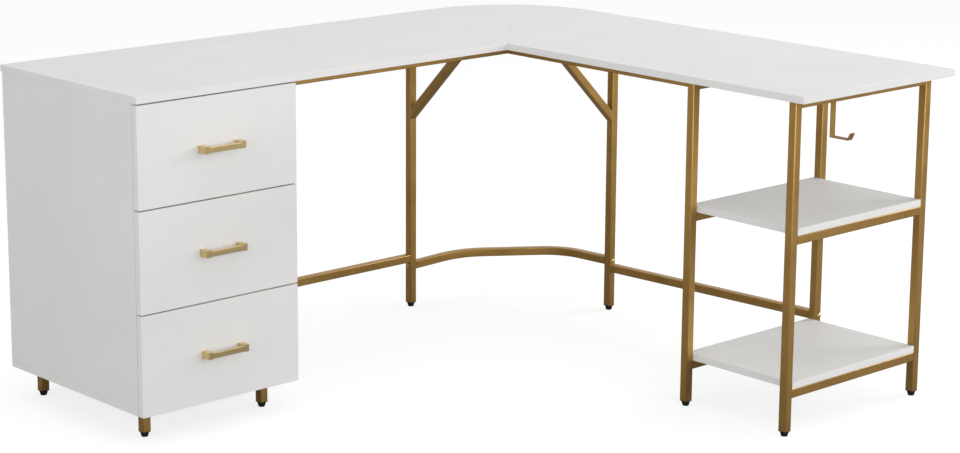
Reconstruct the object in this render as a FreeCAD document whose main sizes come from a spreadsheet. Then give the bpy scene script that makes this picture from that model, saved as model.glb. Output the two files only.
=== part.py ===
import FreeCAD, Part
import os
import re

# L-shaped corner desk: two worktop halves on a square-tube frame, a three-drawer
# pedestal under the free end of the main wing and a two-shelf unit under the free
# end of the return wing.
#
# Frame: millimetres, +Z up, origin on the floor at the centre of the footprint.
# +X runs along the main wing towards the rounded corner, -Y is the sitting side.
# Plan positions are counted from the inner corner of the worktop, (corner_x, corner_y).

doc = FreeCAD.newDocument("corner_desk")

# ---------------------------------------------------------------- dimensions
DIMENSIONS = {
    # overall
    "desk_length": 1575,        # along X
    "desk_depth": 1422,         # along Y
    "desk_height": 762,
    "wing_depth": 520,          # front to back of either wing
    "board": 16,                # laminated board
    "corner_radius": 275,       # rounded outer corner
    # square tube frame
    "tube": 20,
    "wall": 1.2,
    "tube_round": 2,            # outer corner radius
    "metal_bottom": 12,         # tubes end this far above the floor
    "apron_height": 15,
    "apron_inset": 27,          # from the worktop's inner edges
    "corner_leg_offset": 114,   # from the inner corner, along the wing
    "corner_leg_inset": 24,     # from the rear edges
    "brace_drop": 202,          # below the cross rail, at the leg
    # shelf unit under the return wing
    "shelf_unit_inset": 27,     # from the wing's long edges
    "shelf_unit_end_inset": 42.5,
    "shelf_unit_depth": 311,
    "lower_shelf_level": 105,   # underside of the board
    "upper_shelf_level": 448,
    # foot rails
    "foot_rail_level": 119,     # underside at the pedestal and at the shelf unit
    "corner_low_level": 99,     # underside of the corner rail at the main leg
    "corner_high_level": 120,   # underside of the corner rail at the return leg
    "return_low_level": 102.5,  # underside of the return rail at the return leg
    "bend_radius": 150,
    "bend_run": 161,            # leg face to the bend's vertex
    # pedestal
    "pedestal_width": 421,
    "pedestal_bottom_level": 67,
    "pedestal_rear_inset": 6,   # from the worktop's rear edge
    "back_board": 4,
    "top_rail_width": 80,
    "pedestal_leg_side": 41,    # inset of the short legs
    "pedestal_leg_front": 60,
    "pedestal_leg_rear": 37,
    # drawers
    "front_gap": 3,
    "front_clearance": 1.5,     # drawer front to carcass
    "runner_width": 12.7,
    "runner_height": 35,
    "runner_length": 400,
    "runner_sheet": 1.2,
    "runner_reach": 9.5,
    "runner_start": 3,          # fixed member behind the carcass edge
    "runner_play": 0.6,         # above and below the moving member
    "box_board": 12,
    "box_height": 150,
    "box_depth": 420,
    "box_lift": 20,             # box above the lower edge of its front
    "box_floor": 5,
    "box_floor_lift": 10,
    "groove": 4,
    # handles
    "handle_length": 109,
    "handle_reach": 25,
    "post_width": 13,
    "post_height": 16,
    "bar_height": 11.5,
    "bar_lift": 1.5,            # above the posts' underside
    "bar_thick": 9,
    # hook
    "hook_width": 16,
    "hook_sheet": 2.5,
    "hook_offset": 121,         # from the shelf unit's inner leg
    "hook_drop": 82,            # below the rail
    "hook_arm": 50,
    "hook_lip": 17,
    "hook_angle": 65,
    # feet and fasteners
    "foot_height": 10,
    "foot_top_r": 10,
    "foot_sole_r": 7,
    "stem_r": 3,
    "stem_length": 16,
    "stem_play": 0.3,
    "flange_gap": 0.5,
    "plug_depth": 16,
    "bolt_r": 3,
    "bolt_hole_r": 3.2,
    "bolt_length": 44,
    "bolt_head_r": 6,
    "bolt_rim": 1.5,            # straight part of the head
    "bolt_dome": 1.8,
    "bolt_crown_r": 3.3,
    "insert_side": 16,
    "insert_length": 14,
    "insert_start": 4,          # behind the mouth of the rail
    "plate_length": 110,
    "plate_width": 40,
    "plate_thick": 2,
    "first_plate": 210,         # along X from the inner corner
    "second_plate": 350,
    # cutting tools
    "overcut": 1,               # past the surfaces they go through
    "trim_margin": 4,           # beside a leg, where a foot rail is trimmed
}

DERIVED = {
    "corner_x": "desk_length / 2 - wing_depth",
    "corner_y": "desk_depth / 2 - wing_depth",
    "underside": "desk_height - board",
    "rail_level": "underside - tube",
    "bore": "tube - 2 * wall",
    "flange_height": "metal_bottom - foot_height - flange_gap",
    "leg_in": "wing_depth - corner_leg_inset - tube",
    "leg_off": "corner_leg_offset",
    "leg_far": "corner_leg_offset + tube",
    "main_run": "desk_length - wing_depth",
    "return_run": "desk_depth - wing_depth",
    "pedestal_inner": "pedestal_width - main_run",
    "pedestal_depth": "wing_depth - pedestal_rear_inset",
    "carcass_front": "board + front_clearance",
    "side_level": "pedestal_bottom_level + board",
    "inside_width": "pedestal_width - 2 * board",
    "box_width": "inside_width - 2 * runner_width",
    "box_inside": "box_width - 2 * box_board",
    "front_height": "(underside - pedestal_bottom_level - 3 * front_gap) / 3",
    "unit_x_far": "wing_depth - shelf_unit_inset - tube",
    "unit_y_end": "shelf_unit_end_inset - return_run",
    "unit_y_in": "unit_y_end + shelf_unit_depth - tube",
    "unit_bay": "unit_x_far - shelf_unit_inset - tube",
    "rail_reach": "leg_in + tube / 2 - leg_far",
    "bend_tangent": "bend_radius * (sqrt(2) - 1)",
    "corner_rise": "corner_high_level - corner_low_level",
    "return_rise": "foot_rail_level - return_low_level",
    "return_span": "leg_off - unit_y_in - tube",
}

sheet = doc.addObject("Spreadsheet::Sheet", "dims")
for row, (alias, value) in enumerate(list(DIMENSIONS.items()) + list(DERIVED.items()), start=1):
    sheet.set(f"A{row}", alias)
    sheet.set(f"B{row}", f"={value}" if alias in DERIVED else str(value))
    sheet.setAlias(f"B{row}", alias)
doc.recompute()

ALIASES = set(DIMENSIONS) | set(DERIVED)


# ---------------------------------------------------------------- helpers
def bind(obj, prop, expression):
    """Bind one property to an expression written in the sheet's aliases."""
    text = re.sub(r"[a-z_]+", lambda m: "dims." + m[0] if m[0] in ALIASES else m[0], str(expression))
    obj.setExpression(prop, text)


def place(obj, at, axis=None, angle=None):
    """Put an object at plan position `at`, turned about `axis` by `angle` degrees."""
    if axis:
        obj.Placement = FreeCAD.Placement(FreeCAD.Vector(), FreeCAD.Rotation(FreeCAD.Vector(*axis), 45))
        bind(obj, "Placement.Rotation.Angle", angle)
    for name, value in zip("xyz", at):
        bind(obj, f"Placement.Base.{name}", value)
    return obj


def on_plan(x, y, z):
    """A place counted from the worktop's inner corner."""
    return (f"corner_x + ({x})", f"corner_y + ({y})", z)


def box(label, size, at=(0, 0, 0), axis=None, angle=None):
    obj = doc.addObject("Part::Box", label)
    for prop, value in zip(("Length", "Width", "Height"), size):
        bind(obj, prop, value)
    return place(obj, at, axis, angle)


def cylinder(label, radius, height, at=(0, 0, 0), axis=None, angle=None, sweep=None):
    obj = doc.addObject("Part::Cylinder", label)
    bind(obj, "Radius", radius)
    bind(obj, "Height", height)
    if sweep:
        bind(obj, "Angle", sweep)
    return place(obj, at, axis, angle)


def cone(label, bottom_radius, top_radius, height, at=(0, 0, 0), axis=None, angle=None):
    obj = doc.addObject("Part::Cone", label)
    bind(obj, "Radius1", bottom_radius)
    bind(obj, "Radius2", top_radius)
    bind(obj, "Height", height)
    return place(obj, at, axis, angle)


def fuse(label, shapes):
    obj = doc.addObject("Part::MultiFuse", label)
    obj.Shapes = shapes
    obj.Refine = True
    return obj


def cut(label, base, tools):
    """Take one or more tools away from a base."""
    obj = doc.addObject("Part::Cut", label)
    obj.Base = base
    obj.Tool = tools[0] if len(tools) == 1 else fuse(label + "_tools", tools)
    return obj


def common(label, first, second):
    obj = doc.addObject("Part::Common", label)
    obj.Base = first
    obj.Tool = second
    return obj


def group(label, members):
    """Separate solids that share one node."""
    obj = doc.addObject("Part::Compound", label)
    obj.Links = members
    return obj


LENGTH_SLACK = 1    # an edge counts as longer than a size from this much more, in mm


def rounded(label, base, radius, shortest):
    """Round every edge of a base that is longer than `shortest`; both are names in the sheet."""
    base.recompute(True)
    radius_mm = sheet.get(radius)
    shortest_mm = sheet.get(shortest) + LENGTH_SLACK
    obj = doc.addObject("Part::Fillet", label)
    obj.Base = base
    obj.Edges = [
        (number, radius_mm, radius_mm)
        for number, edge in enumerate(base.Shape.Edges, start=1) if edge.Length > shortest_mm
    ]
    return obj


def hollow(label, axis, length, high="tube", holes=()):
    """Square tube along an axis, its near corner at the local origin."""
    run = "xyz".index(axis)
    outer = ["tube", "tube", high]
    inner = ["bore", "bore", f"{high} - 2 * wall"]
    if axis == "z":
        outer = ["tube", "tube", length]
        inner = ["bore", "bore", "bore"]
    outer[run] = length
    inner[run] = f"{length} + 2 * overcut"
    start = ["wall", "wall", "wall"]
    start[run] = "-overcut"
    skin = rounded(label + "_skin", box(label + "_outer", outer), "tube_round", "tube")
    return cut(label, skin, [box(label + "_inner", inner, start), *holes])


X_AXIS = (1, 0, 0)
Y_AXIS = (0, 1, 0)
Z_AXIS = (0, 0, 1)

# ---------------------------------------------------------------- worktop
# Two halves meet on the diagonal from the inner corner to the rounded outer corner.
arc_centre = "wing_depth - corner_radius"
corner_waste = cut(
    "corner_waste",
    box("corner_block", ["corner_radius + overcut", "corner_radius + overcut", "board + 2 * overcut"],
        on_plan(arc_centre, arc_centre, "underside - overcut")),
    [cylinder("corner_round", "corner_radius", "board + 4 * overcut",
              on_plan(arc_centre, arc_centre, "underside - 2 * overcut"))],
)
main_slab = box("main_slab", ["desk_length", "wing_depth", "board"],
                on_plan("-main_run", 0, "underside"))
return_slab = box("return_slab", ["wing_depth", "desk_depth", "board"],
                  on_plan(0, "-return_run", "underside"))
HALF_TOOL = ["2 * wing_depth", "wing_depth", "board + 2 * overcut"]
half_side = "wing_depth / sqrt(2)"
below_diagonal = box("below_diagonal", HALF_TOOL,
                     on_plan(half_side, f"-{half_side}", "underside - overcut"), Z_AXIS, 45)
above_diagonal = box("above_diagonal", HALF_TOOL, on_plan(0, 0, "underside - overcut"), Z_AXIS, 45)
worktop_main = cut("worktop_main", main_slab, [below_diagonal, corner_waste])
worktop_return = cut("worktop_return", return_slab, [above_diagonal, corner_waste])

# Flat steel plates screwed across the joint, under the worktop.
seam_plates = group("seam_plates", [
    box(f"seam_plate_{spot}", ["plate_width", "plate_length", "plate_thick"],
        on_plan(f"{spot} - plate_width / 2 / sqrt(2) + plate_length / 2 / sqrt(2)",
                f"{spot} - plate_width / 2 / sqrt(2) - plate_length / 2 / sqrt(2)",
                "underside - plate_thick"), Z_AXIS, 45)
    for spot in ("first_plate", "second_plate")
])

# ---------------------------------------------------------------- rails under the worktop
apron_rail_main = hollow("apron_rail_main", "x", "leg_far - pedestal_inner", high="apron_height")
place(apron_rail_main, on_plan("pedestal_inner", "apron_inset", "underside - apron_height"))
apron_rail_return = hollow("apron_rail_return", "y", "apron_inset - unit_y_in - tube", high="apron_height")
place(apron_rail_return, on_plan("apron_inset", "unit_y_in + tube", "underside - apron_height"))

rear_rail_main = hollow("rear_rail_main", "x", "leg_off - pedestal_inner")
place(rear_rail_main, on_plan("pedestal_inner", "leg_in", "rail_level"))
rear_rail_return = hollow("rear_rail_return", "y", "leg_off - unit_y_in - tube")
place(rear_rail_return, on_plan("leg_in", "unit_y_in + tube", "rail_level"))

# Each corner leg carries one rail that runs inwards to the apron.
cross_rail_main = hollow("cross_rail_main", "y", "leg_in - apron_inset - tube")
place(cross_rail_main, on_plan("leg_off", "apron_inset + tube", "rail_level"))
cross_rail_return = hollow("cross_rail_return", "x", "leg_in - leg_far")
place(cross_rail_return, on_plan("leg_far", "leg_off", "rail_level"))

# ---------------------------------------------------------------- corner legs and braces
LEG_LENGTH = "underside - metal_bottom"


def bolt_hole(label, axis, at):
    """Clearance hole through a tube, along X or Y; `at` is where it enters."""
    turn = (Y_AXIS, 90) if axis == "x" else (X_AXIS, -90)
    return cylinder(label, "bolt_hole_r", "tube + 2 * overcut", at, *turn)


def bolt_level(rail_level):
    """Height of a foot rail's bolt above the leg's lower end."""
    return f"{rail_level} + tube / 2 - metal_bottom"


# The two foot rails at each corner leg are bolted one above the other.
corner_leg_main = hollow("corner_leg_main", "z", LEG_LENGTH, holes=[
    bolt_hole(f"main_leg_hole_{level}", "x", ("-overcut", "tube / 2", bolt_level(level)))
    for level in ("foot_rail_level", "corner_low_level")
])
place(corner_leg_main, on_plan("leg_off", "leg_in", "metal_bottom"))
corner_leg_return = hollow("corner_leg_return", "z", LEG_LENGTH, holes=[
    bolt_hole(f"return_leg_hole_{level}", "y", ("tube / 2", "-overcut", bolt_level(level)))
    for level in ("corner_high_level", "return_low_level")
])
place(corner_leg_return, on_plan("leg_in", "leg_off", "metal_bottom"))


def brace(label):
    """45 degree brace in its own XZ plane: leg face at x = 0, rail underside at z = 0, rising along -X."""
    span = "brace_drop + tube * sqrt(2)"
    start_x = "-(brace_drop + tube + tube / sqrt(2))"
    start_z = "tube - tube / sqrt(2)"
    outer = box(label + "_outer", [f"({span}) * 2", "tube", "tube"], (start_x, 0, start_z), Y_AXIS, 45)
    inner = box(label + "_inner", [f"({span}) * 2", "bore", "bore"],
                (f"{start_x} + wall / sqrt(2)", "wall", f"{start_z} + wall / sqrt(2)"), Y_AXIS, 45)
    bar = cut(label + "_bar", rounded(label + "_skin", outer, "tube_round", "tube"), [inner])
    limits = box(label + "_limits", [span, "tube", span], (f"-({span})", 0, f"-({span})"))
    return common(label, bar, limits)


corner_brace_return = brace("corner_brace_return")
place(corner_brace_return, on_plan("leg_in", "leg_off", "rail_level"))
corner_brace_main = brace("corner_brace_main")
place(corner_brace_main, on_plan("leg_far", "leg_in", "rail_level"), Z_AXIS, 90)

# ---------------------------------------------------------------- foot rails
stretcher_main = hollow("stretcher_main", "x", "leg_off - pedestal_inner")
place(stretcher_main, on_plan("pedestal_inner", "leg_in", "foot_rail_level"))

END_TRIM = 3    # the sloping rails are cut flush with the legs, this much past the joint


def leg_envelope(label, x, y):
    """Tool a little wider than a leg, as high as the foot rails reach."""
    size = ["tube + 2 * trim_margin", "tube + 2 * trim_margin", "8 * tube"]
    return box(label, size, on_plan(x, y, "metal_bottom"))


# Sloping rail between the return corner leg and the shelf unit's rear leg.
return_bar = hollow("return_bar", "y", f"return_span + {2 * END_TRIM}")
place(return_bar, on_plan("leg_in", f"unit_y_in + tube - {END_TRIM}", "foot_rail_level"),
      X_AXIS, "-atan(return_rise / return_span)")
stretcher_return = cut("stretcher_return", return_bar, [
    leg_envelope("return_trim_leg", "leg_in - trim_margin", "leg_off"),
    leg_envelope("return_trim_unit", "leg_in - trim_margin", "unit_y_in - 2 * trim_margin"),
])


def bent_bar(label, side, high):
    """Bent rail between the corner legs, centred on its own end at the main leg."""
    inner = f"bend_radius - ({side}) / 2"
    straight = "bend_run - bend_tangent"
    middle_length = "(rail_reach - bend_radius - bend_run + bend_tangent) * sqrt(2)"
    pieces = [
        box(label + "_start", [f"{straight} + {END_TRIM}", side, high],
            (-END_TRIM, f"-({side}) / 2", f"-({high}) / 2")),
        box(label + "_end", [side, f"{straight} + {END_TRIM}", high],
            (f"rail_reach - ({side}) / 2", f"-rail_reach - {END_TRIM}", f"-({high}) / 2")),
        box(label + "_middle", [middle_length, side, high],
            (f"{straight} + ({inner}) / sqrt(2)", f"-bend_radius + ({inner}) / sqrt(2)", f"-({high}) / 2"),
            Z_AXIS, -45),
    ]
    centres = {
        "first": (straight, "-bend_radius", 45),
        "second": ("rail_reach - bend_radius", f"-rail_reach + {straight}", 0),
    }
    for name, (x, y, start) in centres.items():
        sector = cylinder(f"{label}_{name}_outside", f"bend_radius + ({side}) / 2", high,
                          (x, y, f"-({high}) / 2"), Z_AXIS, start, sweep=45)
        hub = cylinder(f"{label}_{name}_inside", inner, f"({high}) + 2 * overcut",
                       (x, y, f"-({high}) / 2 - overcut"))
        pieces.append(cut(f"{label}_{name}", sector, [hub]))
    return fuse(label, pieces)


corner_skin = rounded("corner_skin", bent_bar("corner_outer", "tube", "tube"), "tube_round", "tube")
corner_bar = cut("corner_bar", corner_skin, [bent_bar("corner_inner", "bore", "bore")])
place(corner_bar, on_plan("leg_far", "leg_in + tube / 2", "corner_low_level + tube / 2"),
      (1, 1, 0), "-atan(corner_rise / (rail_reach * sqrt(2)))")
stretcher_corner = cut("stretcher_corner", corner_bar, [
    leg_envelope("corner_trim_main", "leg_off - 2 * trim_margin", "leg_in - trim_margin"),
    leg_envelope("corner_trim_return", "leg_in - trim_margin", "leg_off - 2 * trim_margin"),
])

# ---------------------------------------------------------------- shelf unit
UNIT_X = ("shelf_unit_inset", "unit_x_far")
UNIT_Y = ("unit_y_end", "unit_y_in")
rear_leg_hole = ("leg_in + tube / 2 - unit_x_far", "-overcut", bolt_level("foot_rail_level"))

unit_legs = []
for i, x in enumerate(UNIT_X):
    for j, y in enumerate(UNIT_Y):
        name = f"unit_leg_{i}{j}"
        holes = [bolt_hole(name + "_hole", "y", rear_leg_hole)] if i and j else []
        unit_legs.append(place(hollow(name, "z", LEG_LENGTH, holes=holes), on_plan(x, y, "metal_bottom")))
shelf_unit_legs = group("shelf_unit_legs", unit_legs)

RAIL_LEVELS = ("rail_level", "upper_shelf_level - tube", "lower_shelf_level - tube")


def rail_set(label, y):
    """Three rails between two legs: under the worktop and under each shelf."""
    return group(label, [
        place(hollow(f"{label}_{n}", "x", "unit_bay"), on_plan("shelf_unit_inset + tube", y, level))
        for n, level in enumerate(RAIL_LEVELS)
    ])


shelf_rails_end = rail_set("shelf_rails_end", "unit_y_end")
shelf_rails_inner = rail_set("shelf_rails_inner", "unit_y_in")


def shelf(label, level):
    return box(label, ["unit_bay", "shelf_unit_depth", "board"],
               on_plan("shelf_unit_inset + tube", "unit_y_end", level))


shelf_upper = shelf("shelf_upper", "upper_shelf_level")
shelf_lower = shelf("shelf_lower", "lower_shelf_level")

# Bent strip hook behind the end rail; its arm passes under the rail.
hook_base = "rail_level - hook_drop"
bag_hook = fuse("bag_hook", [
    box("hook_strip", ["hook_width", "hook_sheet", "hook_drop + tube"]),
    box("hook_bottom", ["hook_width", "hook_arm", "hook_sheet"], (0, "hook_sheet - hook_arm", 0)),
    box("hook_tip", ["hook_width", "hook_lip", "hook_sheet"],
        (0, "hook_sheet - hook_arm + hook_sheet * sin(hook_angle)", "hook_sheet * cos(hook_angle)"),
        X_AXIS, "180 - hook_angle"),
])
place(bag_hook, on_plan("shelf_unit_inset + tube + hook_offset", "unit_y_end + tube", hook_base))

# ---------------------------------------------------------------- pedestal
SIDE_LENGTH = "pedestal_depth - carcass_front"
pedestal_bottom = box("pedestal_bottom", ["pedestal_width", SIDE_LENGTH, "board"],
                      on_plan("-main_run", "carcass_front", "pedestal_bottom_level"))
pedestal_side_outer = box("pedestal_side_outer", ["board", SIDE_LENGTH, "underside - side_level"],
                          on_plan("-main_run", "carcass_front", "side_level"))
side_hole_at = ("-overcut", "leg_in + tube / 2 - carcass_front", "foot_rail_level + tube / 2 - side_level")
pedestal_side_inner = cut(
    "pedestal_side_inner",
    box("inner_side_board", ["board", SIDE_LENGTH, "underside - side_level"]),
    [cylinder("inner_side_hole", "bolt_hole_r", "board + 2 * overcut", side_hole_at, Y_AXIS, 90)],
)
place(pedestal_side_inner, on_plan("pedestal_inner - board", "carcass_front", "side_level"))
pedestal_back = box("pedestal_back", ["inside_width", "back_board", "underside - side_level"],
                    on_plan("board - main_run", "pedestal_depth - back_board", "side_level"))
pedestal_top_rails = group("pedestal_top_rails", [
    box(f"top_rail_{name}", ["inside_width", "top_rail_width", "board"],
        on_plan("board - main_run", y, "underside - board"))
    for name, y in (("front", "carcass_front"), ("rear", "pedestal_depth - back_board - top_rail_width"))
])

PEDESTAL_X = ("pedestal_leg_side - main_run", "pedestal_inner - pedestal_leg_side - tube")
PEDESTAL_Y = ("pedestal_leg_front", "pedestal_depth - pedestal_leg_rear - tube")
pedestal_legs = group("pedestal_legs", [
    place(hollow(f"pedestal_leg_{i}{j}", "z", "pedestal_bottom_level - metal_bottom"),
          on_plan(x, y, "metal_bottom"))
    for i, x in enumerate(PEDESTAL_X) for j, y in enumerate(PEDESTAL_Y)
])


# ---------------------------------------------------------------- drawers
def channel(label, open_side, height, flange):
    """Runner member: a flat web with two flanges; open_side is +1 when it opens towards +X."""
    web_x = "0" if open_side > 0 else f"-({flange})"
    slot_x = "runner_sheet" if open_side > 0 else f"-({flange}) - overcut"
    slot_size = [
        f"{flange} - runner_sheet + overcut",
        "runner_length + 2 * overcut",
        f"{height} - 2 * runner_sheet",
    ]
    return cut(
        label,
        box(label + "_web", [flange, "runner_length", height], (web_x, 0, 0)),
        [box(label + "_slot", slot_size, (slot_x, "-overcut", "runner_sheet"))],
    )


CARCASS_LEFT = "board - main_run"
CARCASS_RIGHT = "pedestal_inner - board"
MOVING_HEIGHT = "runner_height - 2 * runner_sheet - 2 * runner_play"
PANEL_GROOVE_AT = (
    "pedestal_width / 2 - box_inside / 2 - groove", "board - groove", "box_lift + box_floor_lift",
)
DRAWERS = ("lower", "middle", "top")

fixed_runners = []
drawer_parts = {}
for n, name in enumerate(DRAWERS):
    base = f"pedestal_bottom_level + {n} * (front_height + front_gap)"
    box_base = f"{base} + box_lift"
    runner_base = f"{box_base} + box_height / 2 - runner_height / 2"
    prefix = f"drawer_{name}"

    for side, x, way in (("left", CARCASS_LEFT, 1), ("right", CARCASS_RIGHT, -1)):
        member = channel(f"{prefix}_fixed_{side}", way, "runner_height", "runner_reach")
        fixed_runners.append(place(member, on_plan(x, "carcass_front + runner_start", runner_base)))

    moving = []
    for side, x, way in (("left", f"{CARCASS_LEFT} + runner_width", -1),
                         ("right", f"{CARCASS_RIGHT} - runner_width", 1)):
        member = channel(f"{prefix}_moving_{side}", way, MOVING_HEIGHT, "runner_reach")
        moving.append(place(member, on_plan(x, "board", f"{runner_base} + runner_sheet + runner_play")))
    runners = group(f"{prefix}_runners", moving)

    front = cut(
        f"{prefix}_front",
        box(f"{prefix}_panel", ["pedestal_width", "board", "front_height"]),
        [box(f"{prefix}_panel_groove", ["box_inside + 2 * groove", "groove + overcut", "box_floor"],
             PANEL_GROOVE_AT)],
    )
    place(front, on_plan("-main_run", 0, base))

    sides = []
    for side, x, groove_x in (("left", "0", "box_board - groove"),
                              ("right", "box_width - box_board", "-overcut")):
        label = f"{prefix}_side_{side}"
        board_cut = cut(
            label,
            box(label + "_board", ["box_board", "box_depth", "box_height"]),
            [box(label + "_groove", ["groove + overcut", "box_depth + 2 * overcut", "box_floor"],
                 (groove_x, "-overcut", "box_floor_lift"))],
        )
        sides.append(place(board_cut, on_plan(f"{CARCASS_LEFT} + runner_width + {x}", "board", box_base)))
    side_pair = group(f"{prefix}_sides", sides)

    inside_x = f"{CARCASS_LEFT} + runner_width + box_board"
    floor_base = f"{box_base} + box_floor_lift"
    back = box(f"{prefix}_back", ["box_inside", "box_board", "box_height - box_floor_lift - box_floor"],
               on_plan(inside_x, "board + box_depth - box_board", f"{floor_base} + box_floor"))
    floor = box(f"{prefix}_bottom", ["box_inside + 2 * groove", "box_depth + groove", "box_floor"],
                on_plan(f"{inside_x} - groove", "board - groove", floor_base))

    bar = box(f"{prefix}_handle_bar", ["handle_length", "bar_thick", "bar_height"],
              (0, "-handle_reach", "bar_lift"))
    posts = [
        box(f"{prefix}_handle_{side}", ["post_width", "handle_reach", "post_height"], (x, "-handle_reach", 0))
        for side, x in (("left", 0), ("right", "handle_length - post_width"))
    ]
    handle = fuse(f"{prefix}_handle", [bar, *posts])
    place(handle, on_plan("pedestal_width / 2 - main_run - handle_length / 2", 0,
                          f"{base} + front_height / 2 - post_height / 2"))
    drawer_parts[name] = [front, side_pair, back, floor, handle, runners]
drawer_runners_fixed = group("drawer_runners_fixed", fixed_runners)


# ---------------------------------------------------------------- plugs and levelling feet
FOOT_PLACES = {
    "corner_main": ("leg_off", "leg_in"),
    "corner_return": ("leg_in", "leg_off"),
}
for i, x in enumerate(UNIT_X):
    for j, y in enumerate(UNIT_Y):
        FOOT_PLACES["shelf_" + ("knee", "wall")[i] + ("_end", "_inner")[j]] = (x, y)
for i, x in enumerate(PEDESTAL_X):
    for j, y in enumerate(PEDESTAL_Y):
        FOOT_PLACES["pedestal_" + ("outer", "inner")[i] + ("_front", "_rear")[j]] = (x, y)

plugs = []
feet = []
for name, (x, y) in FOOT_PLACES.items():
    plug = cut(
        f"plug_{name}",
        fuse(f"plug_{name}_body", [
            box(f"plug_{name}_flange", ["tube", "tube", "flange_height"]),
            box(f"plug_{name}_core", ["bore", "bore", "plug_depth"],
                ("wall", "wall", "flange_height")),
        ]),
        [cylinder(f"plug_{name}_hole", "stem_r + stem_play", "flange_height + plug_depth + 2 * overcut",
                  ("tube / 2", "tube / 2", "-overcut"))],
    )
    plugs.append(place(plug, on_plan(x, y, "foot_height + flange_gap")))
    foot = fuse(f"foot_{name}", [
        cone(f"foot_{name}_base", "foot_sole_r", "foot_top_r", "foot_height"),
        cylinder(f"foot_{name}_stem", "stem_r", "stem_length", (0, 0, "foot_height")),
    ])
    feet.append(place(foot, on_plan(f"{x} + tube / 2", f"{y} + tube / 2", 0)))
leg_plugs = group("leg_plugs", plugs)


# ---------------------------------------------------------------- bolts and their inserts
TURNS = {"+x": (Y_AXIS, 90), "-x": (Y_AXIS, -90), "+y": (X_AXIS, -90), "-y": (X_AXIS, 90)}


def bolt(label, way, at, length):
    """Domed bolt whose head rests at `at` and whose shank points along `way`."""
    body = fuse(label, [
        cylinder(label + "_shank", "bolt_r", length),
        cylinder(label + "_rim", "bolt_head_r", "bolt_rim", (0, 0, "-bolt_rim")),
        cone(label + "_dome", "bolt_crown_r", "bolt_head_r", "bolt_dome", (0, 0, "-bolt_rim - bolt_dome")),
    ])
    return place(body, at, *TURNS[way])


def insert(label, way, at):
    """Threaded block inside a rail's end; `at` is the centre of the rail's end face."""
    body = cut(label,
               box(label + "_block", ["insert_side", "insert_side", "insert_length"],
                   ("-insert_side / 2", "-insert_side / 2", "insert_start")),
               [cylinder(label + "_thread", "bolt_r", "insert_length + 2 * overcut",
                         (0, 0, "insert_start - overcut"))])
    return place(body, at, *TURNS[way])


mid = "tube / 2"
main_joint = f"foot_rail_level + {mid}"
low_joint = f"corner_low_level + {mid}"
high_joint = f"corner_high_level + {mid}"
return_joint = f"return_low_level + {mid}"
leg_mid = f"leg_in + {mid}"
# For each bolt: its direction, where its head rests, and the mouth of the rail it runs into.
BOLTS = {
    "main_leg_rail": (
        "-x", on_plan("leg_far", leg_mid, main_joint), on_plan("leg_off", leg_mid, main_joint)),
    "main_leg_corner": (
        "+x", on_plan("leg_off", leg_mid, low_joint), on_plan("leg_far", leg_mid, low_joint)),
    "return_leg_corner": (
        "+y", on_plan(leg_mid, "leg_off", high_joint), on_plan(leg_mid, "leg_far", high_joint)),
    "return_leg_rail": (
        "-y", on_plan(leg_mid, "leg_far", return_joint), on_plan(leg_mid, "leg_off", return_joint)),
    "shelf_unit_rail": (
        "+y", on_plan(leg_mid, "unit_y_in", main_joint), on_plan(leg_mid, "unit_y_in + tube", main_joint)),
    "pedestal_rail": (
        "+x", on_plan("pedestal_inner - board", leg_mid, main_joint),
        on_plan("pedestal_inner", leg_mid, main_joint)),
}
SHORT_BOLT = "bolt_length - tube + board"
frame_bolts = group("frame_bolts", [
    bolt("bolt_" + name, way, head, SHORT_BOLT if name == "pedestal_rail" else "bolt_length")
    for name, (way, head, _) in BOLTS.items()
])
nut_inserts = group("nut_inserts", [
    insert("insert_" + name, way, mouth) for name, (way, _, mouth) in BOLTS.items()
])

# ---------------------------------------------------------------- check and write
nodes = [
    worktop_main, worktop_return, seam_plates,
    apron_rail_main, apron_rail_return, rear_rail_main, rear_rail_return,
    cross_rail_main, cross_rail_return,
    corner_leg_main, corner_leg_return, corner_brace_main, corner_brace_return,
    stretcher_main, stretcher_corner, stretcher_return,
    shelf_unit_legs, shelf_rails_end, shelf_rails_inner, shelf_upper, shelf_lower, bag_hook,
    pedestal_side_outer, pedestal_side_inner, pedestal_bottom, pedestal_back, pedestal_top_rails,
    pedestal_legs, leg_plugs, drawer_runners_fixed, frame_bolts, nut_inserts,
    *[piece for pieces in drawer_parts.values() for piece in pieces],
    *feet,
]

doc.recompute()
for obj in doc.Objects:
    if "Invalid" in obj.State or "Error" in obj.State:
        raise RuntimeError(f"{obj.Label}: {obj.State}")
    if hasattr(obj, "Shape") and (obj.Shape.isNull() or not obj.Shape.isValid()):
        raise RuntimeError(f"{obj.Label}: empty or broken shape")

os.makedirs("parts", exist_ok=True)
for node in nodes:
    node.Shape.exportStep(f"parts/{node.Label}.step")
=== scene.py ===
import math

import bmesh
import bpy
from mathutils import Euler, Matrix, Vector


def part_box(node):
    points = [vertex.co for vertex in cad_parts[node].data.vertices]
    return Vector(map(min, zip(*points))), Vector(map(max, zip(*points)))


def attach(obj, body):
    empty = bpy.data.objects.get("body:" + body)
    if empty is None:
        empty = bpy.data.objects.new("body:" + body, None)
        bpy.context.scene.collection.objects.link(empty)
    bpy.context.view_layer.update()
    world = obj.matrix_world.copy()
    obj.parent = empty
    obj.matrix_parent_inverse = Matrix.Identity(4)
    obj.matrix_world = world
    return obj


# Corner desk. The CAD nodes carry the shape. This script softens their edges and gives them
# their finishes, adds the small screws and cams that hold the boards together, and sets up
# a white studio and the camera.

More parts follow.
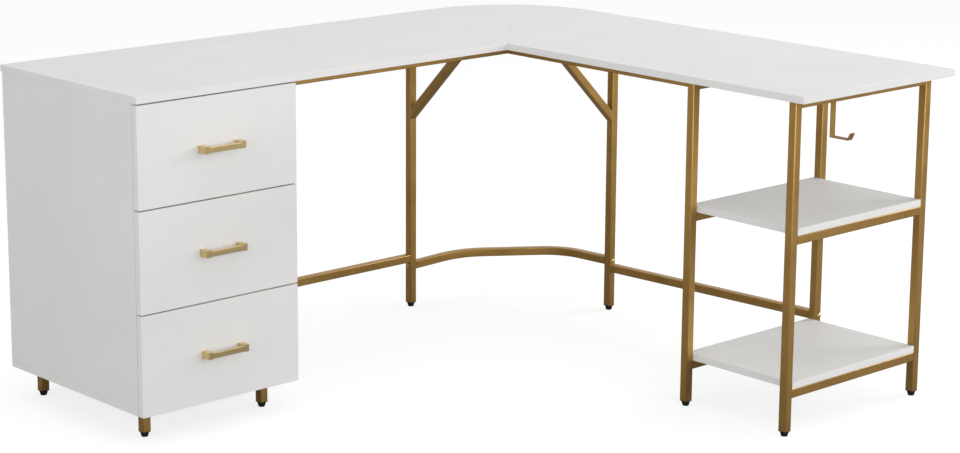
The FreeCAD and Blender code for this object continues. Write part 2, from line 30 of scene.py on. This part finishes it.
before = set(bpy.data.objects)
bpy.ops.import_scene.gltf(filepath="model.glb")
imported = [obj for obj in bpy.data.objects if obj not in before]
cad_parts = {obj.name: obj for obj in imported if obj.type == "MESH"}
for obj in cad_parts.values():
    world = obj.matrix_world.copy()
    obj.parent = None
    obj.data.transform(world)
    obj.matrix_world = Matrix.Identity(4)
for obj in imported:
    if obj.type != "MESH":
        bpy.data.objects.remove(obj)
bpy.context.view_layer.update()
SCENE = bpy.context.scene
MM = 0.001


# ---------------------------------------------------------------- shader helpers
class Finish:
    """One procedural material: a Principled shader whose inputs come from object-space textures."""

    def __init__(self, name, **sockets):
        self.material = bpy.data.materials.new(name)
        self.material.use_nodes = True
        self.tree = self.material.node_tree
        self.shader = self.tree.nodes["Principled BSDF"]
        for socket, value in sockets.items():
            self.shader.inputs[socket.replace("_", " ")].default_value = value
        self.coords = self.tree.nodes.new("ShaderNodeTexCoord").outputs["Object"]

    def feed(self, socket, value):
        """Link a socket to another one, or set its value."""
        if isinstance(value, bpy.types.NodeSocket):
            self.tree.links.new(value, socket)
        else:
            socket.default_value = value

    def add(self, kind, settings=None, **inputs):
        """A node with plain settings; the other keywords feed its inputs by name."""
        node = self.tree.nodes.new(kind)
        for key, value in (settings or {}).items():
            setattr(node, key, value)
        for key, value in inputs.items():
            self.feed(node.inputs[key.replace("_", " ")], value)
        return node

    def stretched(self, scale):
        """Coordinates scaled differently along X, Y and Z, for lines and fibres."""
        return self.add("ShaderNodeMapping", Vector=self.coords, Scale=scale).outputs["Vector"]

    def noise(self, scale, detail=2.0, roughness=0.5, vector=None):
        """Cloudy noise; a higher scale makes it finer."""
        source = vector or self.coords
        node = self.add("ShaderNodeTexNoise", Vector=source, Scale=scale, Detail=detail, Roughness=roughness)
        return node.outputs["Fac"]

    def cells(self, scale):
        """Distance to the nearest of many scattered points, for flakes and spangle."""
        return self.add("ShaderNodeTexVoronoi", Vector=self.coords, Scale=scale).outputs["Distance"]

    def span(self, factor, low, high, start=0.3, stop=0.7):
        """Map a factor, from start to stop, to the range low to high."""
        node = self.add(
            "ShaderNodeMapRange", Value=factor,
            From_Min=start, From_Max=stop, To_Min=low, To_Max=high,
        )
        return node.outputs["Result"]

    def tint(self, factor, low, high, start=0.3, stop=0.7):
        """Blend two colours by a factor, from start to stop."""
        node = self.add("ShaderNodeValToRGB", Fac=factor)
        first, last = node.color_ramp.elements
        first.position, last.position = start, stop
        first.color, last.color = (*low, 1.0), (*high, 1.0)
        return node.outputs["Color"]

    def bump(self, height, strength, distance, over=None):
        """Relief from a height, on top of another relief if one is given."""
        node = self.add("ShaderNodeBump", Height=height, Strength=strength, Distance=distance)
        if over:
            self.feed(node.inputs["Normal"], over)
        return node.outputs["Normal"]

    def wire(self, **inputs):
        """Feed the shader's inputs by name and return the finished material."""
        for key, value in inputs.items():
            self.feed(self.shader.inputs[key.replace("_", " ")], value)
        return self.material


# ---------------------------------------------------------------- finishes
def white_laminate():
    """Melamine foil on board: faint cloudiness under a fine pearled emboss."""
    f = Finish("laminate_white", IOR=1.5, Specular_IOR_Level=0.25)
    cloud = f.noise(scale=5.0, detail=4.0, roughness=0.6)
    pearl = f.noise(scale=420.0, detail=3.0, roughness=0.55)
    grain = f.noise(scale=1600.0)
    emboss = f.bump(pearl, strength=0.10, distance=0.25 * MM)
    return f.wire(
        Base_Color=f.tint(cloud, low=(0.725, 0.719, 0.708), high=(0.755, 0.750, 0.740)),
        Roughness=f.span(pearl, low=0.45, high=0.57),
        Normal=f.bump(grain, strength=0.06, distance=0.08 * MM, over=emboss),
    )


def edge_band():
    """Thin plastic strip glued round the boards: glossier and a little greyer than the faces."""
    f = Finish("edge_band_white", IOR=1.5, Specular_IOR_Level=0.5)
    streak = f.noise(scale=60.0, detail=3.0, roughness=0.6)
    grain = f.noise(scale=900.0)
    return f.wire(
        Base_Color=f.tint(streak, low=(0.70, 0.69, 0.67), high=(0.76, 0.75, 0.735)),
        Roughness=f.span(streak, low=0.26, high=0.36),
        Normal=f.bump(grain, strength=0.06, distance=0.1 * MM),
    )


def white_hardboard():
    """Painted fibreboard: matt, with short fibres showing through the paint."""
    f = Finish("hardboard_white", IOR=1.45, Specular_IOR_Level=0.25)
    fibre = f.noise(scale=1.0, detail=4.0, roughness=0.7, vector=f.stretched((900.0, 120.0, 350.0)))
    patch = f.noise(scale=9.0, detail=3.0)
    return f.wire(
        Base_Color=f.tint(patch, low=(0.70, 0.685, 0.66), high=(0.76, 0.75, 0.73)),
        Roughness=f.span(fibre, low=0.55, high=0.72),
        Normal=f.bump(fibre, strength=0.25, distance=0.2 * MM),
    )


def gold_paint():
    """Powder coat with metal pigment: warm antique gold, orange peel and fine sparkle."""
    f = Finish("powder_coat_gold", Metallic=0.95, Coat_Weight=0.15, Coat_Roughness=0.3, Coat_IOR=1.5)
    cloud = f.noise(scale=14.0, detail=4.0, roughness=0.6)
    flake = f.cells(scale=2600.0)
    peel = f.noise(scale=380.0, roughness=0.45)
    rough = f.add("ShaderNodeMath", {"operation": "ADD"})
    f.feed(rough.inputs[0], f.span(cloud, low=0.34, high=0.42))
    f.feed(rough.inputs[1], f.span(flake, low=-0.04, high=0.05, start=0.1, stop=0.6))
    sparkle = f.bump(flake, strength=0.12, distance=0.06 * MM)
    return f.wire(
        Base_Color=f.tint(cloud, low=(0.425, 0.246, 0.068), high=(0.485, 0.290, 0.086)),
        Roughness=rough.outputs["Value"],
        Normal=f.bump(peel, strength=0.18, distance=0.3 * MM, over=sparkle),
    )


def gold_handle():
    """Brushed brass-coloured metal: fine lines along the bar and a soft lacquer."""
    f = Finish("brushed_brass", Metallic=1.0, Anisotropic=0.35, Coat_Weight=0.2, Coat_Roughness=0.2)
    lines = f.noise(scale=1.0, detail=5.0, roughness=0.7, vector=f.stretched((22.0, 2400.0, 2400.0)))
    cloud = f.noise(scale=40.0, detail=3.0)
    return f.wire(
        Base_Color=f.tint(cloud, low=(0.70, 0.53, 0.25), high=(0.76, 0.59, 0.30)),
        Roughness=f.span(lines, low=0.26, high=0.40),
        Normal=f.bump(lines, strength=0.16, distance=0.08 * MM),
    )


def gold_bolt():
    """Plated bolt heads, brighter than the tubes."""
    f = Finish("plated_gold", Metallic=1.0)
    swirl = f.noise(scale=700.0, detail=3.0, roughness=0.6)
    return f.wire(
        Base_Color=f.tint(swirl, low=(0.60, 0.42, 0.17), high=(0.70, 0.52, 0.24)),
        Roughness=f.span(swirl, low=0.2, high=0.34),
        Normal=f.bump(swirl, strength=0.08, distance=0.05 * MM),
    )


def black_plastic():
    """Moulded black plastic with a fine spark-eroded texture."""
    f = Finish("plastic_black", IOR=1.5, Specular_IOR_Level=0.28)
    grain = f.noise(scale=1500.0, detail=3.0, roughness=0.6)
    cloud = f.noise(scale=60.0)
    return f.wire(
        Base_Color=f.tint(cloud, low=(0.006, 0.006, 0.0065), high=(0.014, 0.0135, 0.014)),
        Roughness=f.span(grain, low=0.38, high=0.58),
        Normal=f.bump(grain, strength=0.3, distance=0.12 * MM),
    )


def zinc_steel():
    """Zinc-plated sheet steel: rolling lines along the runners and a mottled passivation."""
    f = Finish("zinc_plate", Metallic=1.0, Anisotropic=0.3)
    rolled = f.noise(scale=1.0, detail=4.0, roughness=0.6, vector=f.stretched((1500.0, 30.0, 1500.0)))
    spangle = f.cells(scale=140.0)
    return f.wire(
        Base_Color=f.tint(spangle, low=(0.48, 0.49, 0.50), high=(0.60, 0.61, 0.61), start=0.1, stop=0.8),
        Roughness=f.span(rolled, low=0.28, high=0.44),
        Normal=f.bump(rolled, strength=0.12, distance=0.06 * MM),
    )


# The keys are the record's material slots.
FINISHES = {
    "white_laminate": white_laminate(),
    "white_hardboard": white_hardboard(),
    "gold_paint": gold_paint(),
    "gold_bolt": gold_bolt(),
    "gold_handle": gold_handle(),
    "black_plastic": black_plastic(),
    "zinc_steel": zinc_steel(),
}
EDGE_BAND = edge_band()

# Rounding of the edges of each slot's pieces: width in mm, and segments.
ROUNDING = {
    "white_laminate": (0.7, 2),
    "white_hardboard": (0.3, 1),
    "gold_paint": (0.45, 2),
    "gold_bolt": (0.3, 2),
    "gold_handle": (0.9, 3),
    "black_plastic": (0.6, 2),
    "zinc_steel": (0.25, 1),
}
ROUND_FROM = math.radians(42)
WELD_WITHIN = 0.01 * MM


def dress(obj):
    """Give a CAD node its finish and soften its edges."""
    slot = obj.material_slots[0].material.name
    for holder in obj.material_slots:
        holder.material = FINISHES[slot]
    weld = obj.modifiers.new("weld", "WELD")
    weld.merge_threshold = WELD_WITHIN
    width, segments = ROUNDING[slot]
    bevel = obj.modifiers.new("rounding", "BEVEL")
    bevel.limit_method = "ANGLE"
    bevel.angle_limit = ROUND_FROM
    bevel.width = width * MM
    bevel.segments = segments
    bevel.harden_normals = True
    if slot == "white_laminate":
        obj.data.materials.append(EDGE_BAND)
        bevel.material = len(obj.data.materials) - 1


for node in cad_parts.values():
    dress(node)


# ---------------------------------------------------------------- screw heads and cams
# Heads are made in millimetres with their seat at z = 0, and scaled when they are placed.
SUNK = 0.25         # how far a head goes below its seat, so that no gap shows
DOME_RIM = 0.3      # share of a domed head's height that stands straight
PUNCH_TAPER = 0.55  # width of a cross recess at its bottom, as a share of that at its top
PUNCH_ABOVE = 1     # how far the punch stands above the head that it cuts


def lathe(bm, profile, sides):
    """Turn (radius, height) points about Z; a zero radius closes the end."""
    rings = []
    for radius, height in profile:
        if radius == 0:
            rings.append([bm.verts.new((0, 0, height))])
            continue
        turns = [2 * math.pi * i / sides for i in range(sides)]
        rings.append([bm.verts.new((radius * math.cos(t), radius * math.sin(t), height)) for t in turns])
    for low, high in zip(rings, rings[1:]):
        for i in range(sides):
            j = (i + 1) % sides
            if len(low) == 1:
                bm.faces.new((low[0], high[j], high[i]))
            elif len(high) == 1:
                bm.faces.new((low[i], low[j], high[0]))
            else:
                bm.faces.new((low[i], low[j], high[j], high[i]))


def dome_profile(radius, height, steps=5):
    """Closed profile of a domed screw head."""
    points = [(0, -SUNK), (radius, -SUNK), (radius, height * DOME_RIM)]
    for i in range(1, steps + 1):
        angle = math.radians(90 * i / steps)
        points.append((radius * math.cos(angle), height * (DOME_RIM + (1 - DOME_RIM) * math.sin(angle))))
    points[-1] = (0, height)
    return points


def disc_profile(radius, rim, face, chamfer):
    """Closed profile of a flat disc: straight up to its rim, then chamfered up to its face."""
    return [(0, -SUNK), (radius, -SUNK), (radius, rim), (radius - chamfer, face), (0, face)]


def cross_punch(reach, width, bottom, top):
    """Tapered plus-shaped tool for a cross recess."""
    bm = bmesh.new()
    for turn in (0, 90):
        block = bmesh.ops.create_cube(bm, size=1.0)["verts"]
        for v in block:
            level, taper = (bottom, PUNCH_TAPER) if v.co.z < 0 else (top, 1.0)
            v.co = (v.co.x * 2 * reach * taper, v.co.y * width * taper, level)
        bmesh.ops.rotate(bm, verts=block, matrix=Matrix.Rotation(math.radians(turn), 3, "Z"))
    mesh = bpy.data.meshes.new("punch")
    bm.to_mesh(mesh)
    bm.free()
    return bpy.data.objects.new("punch", mesh)


def punched(profile, depth, reach, width, sides=24):
    """A mesh of a turned head with a cross recess; the recess's arms reach out from its middle."""
    bm = bmesh.new()
    lathe(bm, profile, sides)
    bmesh.ops.recalc_face_normals(bm, faces=bm.faces)
    mesh = bpy.data.meshes.new("head")
    bm.to_mesh(mesh)
    bm.free()
    head = bpy.data.objects.new("head", mesh)
    top = max(height for _, height in profile)
    punch = cross_punch(reach, width, bottom=top - depth, top=top + PUNCH_ABOVE)
    for obj in (head, punch):
        SCENE.collection.objects.link(obj)
    recess = head.modifiers.new("recess", "BOOLEAN")
    recess.operation = "DIFFERENCE"
    recess.solver = "EXACT"
    recess.use_self = True
    recess.object = punch
    graph = bpy.context.evaluated_depsgraph_get()
    made = bpy.data.meshes.new_from_object(head.evaluated_get(graph))
    for obj in (head, punch):
        bpy.data.objects.remove(obj)
    return made


PAN_HEAD = punched(dome_profile(radius=3.6, height=2.2), depth=1.5, reach=2.2, width=0.9)
SMALL_HEAD = punched(dome_profile(radius=2.7, height=1.5), depth=1.1, reach=1.6, width=0.7)
CAM_PROFILE = disc_profile(radius=7.4, rim=0.25, face=0.45, chamfer=0.4)
CAM_DISC = punched(CAM_PROFILE, depth=2.4, reach=4.6, width=1.5, sides=32)


# ---------------------------------------------------------------- placing the heads
TWIST = math.radians(37)        # how much further each head is turned than the one before it
CRISP_FROM = math.radians(35)   # edges of a head that turn by more than this stay crisp


def facing(direction):
    """Rotation that turns +Z to a direction."""
    return Vector(direction).to_track_quat("Z", "Y").to_matrix().to_4x4()


def scatter(name, head, places, body, slot):
    """Copies of one head at (point, direction) places, joined into one piece that rides on a body."""
    bm = bmesh.new()
    for n, (point, direction) in enumerate(places):
        copy = bmesh.new()
        copy.from_mesh(head)
        turn = Matrix.Rotation(TWIST * n, 4, "Z")
        copy.transform(Matrix.Translation(point) @ facing(direction) @ turn @ Matrix.Scale(MM, 4))
        part = bpy.data.meshes.new("part")
        copy.to_mesh(part)
        copy.free()
        bm.from_mesh(part)
        bpy.data.meshes.remove(part)
    mesh = bpy.data.meshes.new(name)
    bm.to_mesh(mesh)
    bm.free()
    obj = bpy.data.objects.new(name, mesh)
    SCENE.collection.objects.link(obj)
    obj.data.materials.append(FINISHES[slot])
    obj.data.shade_smooth()
    crisp = obj.modifiers.new("crisp_edges", "EDGE_SPLIT")
    crisp.split_angle = CRISP_FROM
    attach(obj, body)


def centre(low, high):
    """Middle point of a box."""
    return (low + high) / 2


X, Y = 0, 1
DOWN = (0, 0, -1)
BACKWARDS = (0, 1, 0)
RAIL_SCREW_MARGIN = 60 * MM     # from the rail's ends
HOOK_SCREW_SPREAD = 4 * MM      # either side of the strip's middle
HOOK_SCREW_DROP = 10 * MM       # below the rail's top
BACK_SCREW_DROP = 8 * MM        # below the back board's top
BACK_SCREW_SHARES = (0.08, 0.36, 0.64, 0.92)  # of the back board's width
HANDLE_POST_MIDDLE = 6.5 * MM   # from the handle's end
DRAWER_SIDE_BOARD = 12 * MM
CAM_SETBACK = 24 * MM           # behind the front ends of the drawer's sides
CAM_SHARES = (0.27, 0.77)       # of the sides' height


def rail_screws(rail, axis, count):
    """Screws up through a rail into the worktop, heads on the rail's underside."""
    low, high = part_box(rail)
    middle = centre(low, high)
    run = high[axis] - low[axis] - 2 * RAIL_SCREW_MARGIN
    places = []
    for n in range(count):
        point = Vector((middle.x, middle.y, low.z))
        point[axis] = low[axis] + RAIL_SCREW_MARGIN + run * n / (count - 1)
        places.append((point, DOWN))
    return places


def hook_screws():
    """Two screws through the hook's strip into the end rail."""
    low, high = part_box("bag_hook")
    _, rail_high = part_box("shelf_rails_end")
    x = centre(low, high).x
    level = rail_high.z - HOOK_SCREW_DROP
    return [(Vector((x + side * HOOK_SCREW_SPREAD, high.y, level)), BACKWARDS) for side in (-1, 1)]


def back_screws():
    """Small screws that hold the pedestal's back to its rear top rail."""
    low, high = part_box("pedestal_back")
    level = high.z - BACK_SCREW_DROP
    spots = [low.x + (high.x - low.x) * share for share in BACK_SCREW_SHARES]
    return [(Vector((x, high.y, level)), BACKWARDS) for x in spots]


def handle_screws(drawer):
    """Two screws from inside the drawer's front into the handle's posts."""
    low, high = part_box(f"{drawer}_handle")
    _, front_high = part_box(f"{drawer}_front")
    level = centre(low, high).z
    spots = (low.x + HANDLE_POST_MIDDLE, high.x - HANDLE_POST_MIDDLE)
    return [(Vector((x, front_high.y, level)), BACKWARDS) for x in spots]


def side_cams(drawer):
    """Cams on the inner faces of the drawer's sides that pull the front on."""
    low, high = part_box(f"{drawer}_sides")
    y = low.y + CAM_SETBACK
    faces = ((low.x + DRAWER_SIDE_BOARD, 1), (high.x - DRAWER_SIDE_BOARD, -1))
    return [
        (Vector((x, y, low.z + (high.z - low.z) * share)), (way, 0, 0))
        for x, way in faces
        for share in CAM_SHARES
    ]


worktop_screws = []
for rail, axis, count in (
    ("apron_rail_main", X, 3), ("apron_rail_return", Y, 3),
    ("rear_rail_main", X, 3), ("rear_rail_return", Y, 2),
    ("cross_rail_main", Y, 3), ("cross_rail_return", X, 3),
):
    worktop_screws += rail_screws(rail, axis, count)
scatter("worktop_screws", PAN_HEAD, worktop_screws, "desk", "zinc_steel")
scatter("hook_screws", SMALL_HEAD, hook_screws(), "desk", "gold_bolt")
scatter("back_board_screws", SMALL_HEAD, back_screws(), "desk", "zinc_steel")
for drawer in ("drawer_lower", "drawer_middle", "drawer_top"):
    scatter(f"{drawer}_handle_screws", PAN_HEAD, handle_screws(drawer), drawer, "zinc_steel")
    scatter(f"{drawer}_cams", CAM_DISC, side_cams(drawer), drawer, "zinc_steel")

# ---------------------------------------------------------------- studio
FLOOR_RADIUS = 40
PAPER_GLOW = 0.76
HORIZON_GLOW = 0.95
ZENITH_GLOW = 0.45
ZENITH_FROM = 0.9   # sine of the elevation from which the sky has only ZENITH_GLOW


def studio_paper():
    """Paper that glows for the camera only: the ground looks white but hardly lights the desk."""
    f = Finish("studio_paper", Roughness=0.9, Specular_IOR_Level=0.0)
    cloud = f.noise(scale=0.8)
    grey = f.tint(cloud, low=(0.30, 0.30, 0.30), high=(0.31, 0.31, 0.31))
    f.feed(f.shader.inputs["Base Color"], grey)
    seen = f.add("ShaderNodeLightPath").outputs["Is Camera Ray"]
    glow = f.add("ShaderNodeEmission", Color=(1.0, 1.0, 1.0, 1.0), Strength=PAPER_GLOW)
    both = f.add("ShaderNodeAddShader")
    f.feed(both.inputs[0], f.shader.outputs["BSDF"])
    f.feed(both.inputs[1], glow.outputs["Emission"])
    mix = f.add("ShaderNodeMixShader", Fac=seen)
    f.feed(mix.inputs[1], f.shader.outputs["BSDF"])
    f.feed(mix.inputs[2], both.outputs["Shader"])
    f.feed(f.tree.nodes["Material Output"].inputs["Surface"], mix.outputs["Shader"])
    return f.material


def studio_floor():
    """A wide disc of studio paper."""
    mesh = bpy.data.meshes.new("studio_floor")
    bm = bmesh.new()
    bmesh.ops.create_circle(bm, cap_ends=True, segments=96, radius=FLOOR_RADIUS)
    bm.to_mesh(mesh)
    bm.free()
    mesh.materials.append(studio_paper())
    obj = bpy.data.objects.new("studio_floor", mesh)
    SCENE.collection.objects.link(obj)
    return obj


def studio_sky():
    """Even light from all sides, brightest at the horizon, as in a white cyclorama."""
    world = bpy.data.worlds.new("studio")
    world.use_nodes = True
    tree = world.node_tree
    coords = tree.nodes.new("ShaderNodeTexCoord")
    split = tree.nodes.new("ShaderNodeSeparateXYZ")
    level = tree.nodes.new("ShaderNodeMapRange")
    level.inputs["From Min"].default_value = 0.0
    level.inputs["From Max"].default_value = ZENITH_FROM
    level.inputs["To Min"].default_value = HORIZON_GLOW
    level.inputs["To Max"].default_value = ZENITH_GLOW
    tree.links.new(coords.outputs["Generated"], split.inputs["Vector"])
    tree.links.new(split.outputs["Z"], level.inputs["Value"])
    background = tree.nodes["Background"]
    background.inputs["Color"].default_value = (1.0, 1.0, 1.0, 1.0)
    tree.links.new(level.outputs["Result"], background.inputs["Strength"])
    return world


def softbox(name, location, target, size, power):
    """A rectangular light that looks at a target; metres and watts."""
    light = bpy.data.lights.new(name, "AREA")
    light.shape = "RECTANGLE"
    light.size, light.size_y = size
    light.energy = power
    obj = bpy.data.objects.new(name, light)
    obj.location = location
    obj.rotation_euler = (Vector(target) - Vector(location)).to_track_quat("-Z", "Y").to_euler()
    SCENE.collection.objects.link(obj)


floor = studio_floor()
SCENE.world = studio_sky()
softbox("key_softbox", location=(-4.3, -4.5, 2.0), target=(0.1, 0, 0.45), size=(0.6, 0.6), power=76)
softbox("front_softbox", location=(1.2, -5.2, 1.5), target=(0.1, 0, 0.40), size=(4.4, 1.8), power=78)
softbox("left_softbox", location=(-5.0, -0.6, 1.8), target=(0, 0, 0.4), size=(2.4, 1.8), power=43)
softbox("right_softbox", location=(4.8, -1.6, 2.0), target=(0.4, -0.4, 0.35), size=(2.4, 1.6), power=115)
softbox("top_softbox", location=(0.3, 0.2, 4.2), target=(0, 0, 0.0), size=(4.0, 4.0), power=43)

# ---------------------------------------------------------------- camera
CAMERA_AT = (-3.659, -3.959, 1.703)
CAMERA_TURN = 42.79     # degrees from +Y towards +X
CAMERA_DOWN = 12.5      # degrees below the horizon
CAMERA_ROLL = 0.4       # degrees
SENSOR_WIDTH = 36       # mm
FOCAL_LENGTH = 92.3     # mm
LENS_SHIFT = -0.05      # share of the frame's width


def photo_camera():
    """The camera at the photo's viewing angle."""
    data = bpy.data.cameras.new("photo_camera")
    data.sensor_width = SENSOR_WIDTH
    data.lens = FOCAL_LENGTH
    data.shift_y = LENS_SHIFT
    obj = bpy.data.objects.new("photo_camera", data)
    obj.location = CAMERA_AT
    look = Euler((math.radians(90 - CAMERA_DOWN), 0, math.radians(-CAMERA_TURN))).to_matrix()
    roll = Matrix.Rotation(math.radians(CAMERA_ROLL), 3, "Z")
    obj.rotation_euler = (look @ roll).to_euler()
    SCENE.collection.objects.link(obj)
    return obj


SCENE.camera = photo_camera()
SCENE.view_settings.view_transform = "Standard"
